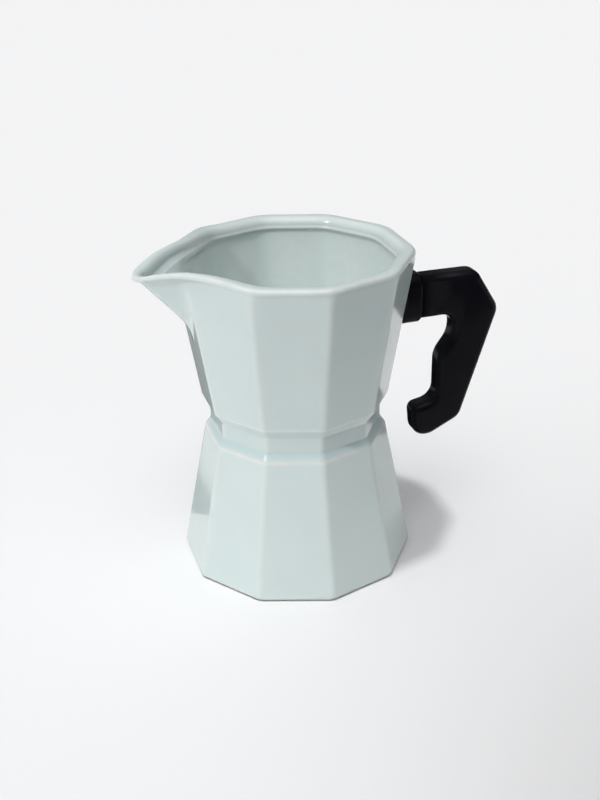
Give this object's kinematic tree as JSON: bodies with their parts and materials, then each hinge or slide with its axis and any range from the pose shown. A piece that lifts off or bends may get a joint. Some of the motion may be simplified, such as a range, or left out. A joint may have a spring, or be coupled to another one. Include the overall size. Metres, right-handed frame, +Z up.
{
  "type": "faceted ceramic jug",
  "caption": "Ten-sided glazed ceramic jug shaped like a stove-top coffee pot, with a pouring spout, a narrow waist and a bolted-on black grip.",
  "frame": {"origin": "on the jug's vertical axis, in the plane that the flat foot stands on", "axes": "+Z up, +X from the axis towards the grip, -X towards the spout, +Y completes the right-handed set"},
  "size_m": [0.148, 0.0942, 0.1317],
  "materials": {
    "glaze": "pale grey-green gloss glaze, paler where it breaks over the edges",
    "black_moulding": "polished black thermoset moulding",
    "silicone": "matt grey food-grade silicone",
    "stainless_steel": "satin stainless steel",
    "brass": "machined brass"
  },
  "bodies": {
    "root": {"jug_body": "glaze", "handle_collar": "black_moulding", "handle_grip": "black_moulding", "collar_pad": "silicone", "screw_upper": "stainless_steel", "screw_lower": "stainless_steel", "washer_upper": "stainless_steel", "washer_lower": "stainless_steel", "seal_upper": "silicone", "seal_lower": "silicone", "insert_upper": "brass", "insert_lower": "brass"}
  },
  "joints": []
}
